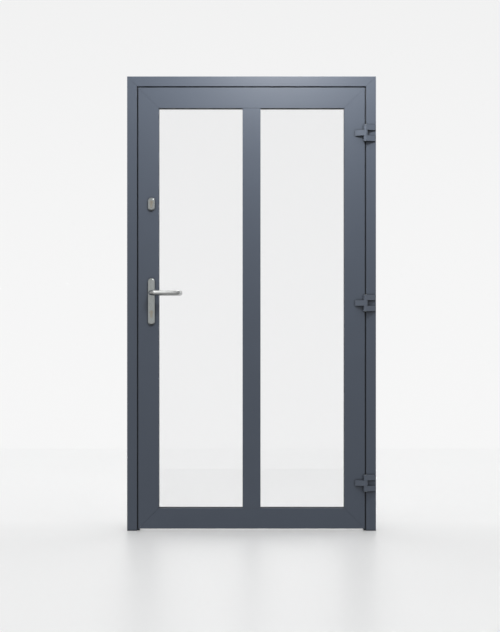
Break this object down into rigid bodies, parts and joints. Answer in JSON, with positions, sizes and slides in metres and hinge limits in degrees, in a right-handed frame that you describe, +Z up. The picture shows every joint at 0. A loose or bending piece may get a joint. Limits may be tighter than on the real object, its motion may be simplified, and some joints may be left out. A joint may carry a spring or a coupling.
{
  "type": "aluminium door",
  "caption": "Glazed aluminium door in its frame: a hinged leaf with tall panes either side of a mullion, a U-shaped lever on a long plate and a separate upper lock.",
  "frame": {"origin": "on the outer side face of the hinge jamb, at floor level, halfway through the depth of the frame", "axes": "+X out of the hinge jamb's side face, so the door spans -X; +Y away from the side the leaf opens to; +Z up"},
  "size_m": [1.15, 0.17, 2.1],
  "materials": {
    "anthracite_coating": "anthracite powder coat, satin, on extruded aluminium",
    "hinge_coating": "anthracite powder coat, satin, on cast aluminium",
    "satin_steel": "satin stainless steel",
    "nickel_brass": "matt nickel-plated brass",
    "zinc_plate": "zinc-plated steel",
    "black_rubber": "black weather seal",
    "clear_glass": "clear float glass",
    "spacer_bar": "mill-finish spacer bar"
  },
  "bodies": {
    "frame": {"hinge_jamb": "anthracite_coating", "lock_jamb": "anthracite_coating", "head": "anthracite_coating", "frame_seal": "black_rubber", "main_strike_plate": "satin_steel", "upper_strike_plate": "satin_steel", "top_hinge_frame_arms": "hinge_coating", "middle_hinge_frame_arms": "hinge_coating", "bottom_hinge_frame_arms": "hinge_coating", "top_hinge_pin": "satin_steel", "middle_hinge_pin": "satin_steel", "bottom_hinge_pin": "satin_steel"},
    "leaf": {"bottom_hinge_leaf_arm": "hinge_coating", "bottom_rail": "anthracite_coating", "front_escutcheon": "satin_steel", "front_handle_plate": "satin_steel", "hinge_stile": "anthracite_coating", "hinge_stile_bead": "anthracite_coating", "latch_bolt": "zinc_plate", "leaf_seal": "black_rubber", "left_bottom_bead": "anthracite_coating", "left_front_gasket": "black_rubber", "left_front_glass": "clear_glass", "left_rear_gasket": "black_rubber", "left_rear_glass": "clear_glass", "left_spacer": "spacer_bar", "left_top_bead": "anthracite_coating", "lock_stile": "anthracite_coating", "lock_stile_bead": "anthracite_coating", "main_cylinder": "nickel_brass", "main_dead_bolt": "zinc_plate", "main_faceplate": "satin_steel", "main_lock_case": "zinc_plate", "middle_hinge_leaf_arm": "hinge_coating", "mullion": "anthracite_coating", "mullion_left_bead": "anthracite_coating", "mullion_right_bead": "anthracite_coating", "rear_escutcheon": "satin_steel", "rear_handle_plate": "satin_steel", "right_bottom_bead": "anthracite_coating", "right_front_gasket": "black_rubber", "right_front_glass": "clear_glass", "right_rear_gasket": "black_rubber", "right_rear_glass": "clear_glass", "right_spacer": "spacer_bar", "right_top_bead": "anthracite_coating", "top_hinge_leaf_arm": "hinge_coating", "top_rail": "anthracite_coating", "upper_cylinder": "nickel_brass", "upper_dead_bolt": "zinc_plate", "upper_faceplate": "satin_steel", "upper_lock_case": "zinc_plate"},
    "lever_set": {"front_lever": "satin_steel", "rear_lever": "satin_steel", "spindle": "zinc_plate", "lock_follower": "zinc_plate"}
  },
  "joints": [
    {"name": "leaf_swing", "type": "hinge", "parent": "frame", "child": "leaf", "pos_m": [-0.0485, -0.037, 1.05], "axis": [0, 0, 1], "range_deg": [0, 170]},
    {"name": "lever_turn", "type": "hinge", "parent": "leaf", "child": "lever_set", "pos_m": [-1.0375, 0, 1.1], "axis": [0, 1, 0], "range_deg": [0, 40], "stiffness_Nm_per_rad": 1.5, "springref_deg": -34.38}
  ]
}
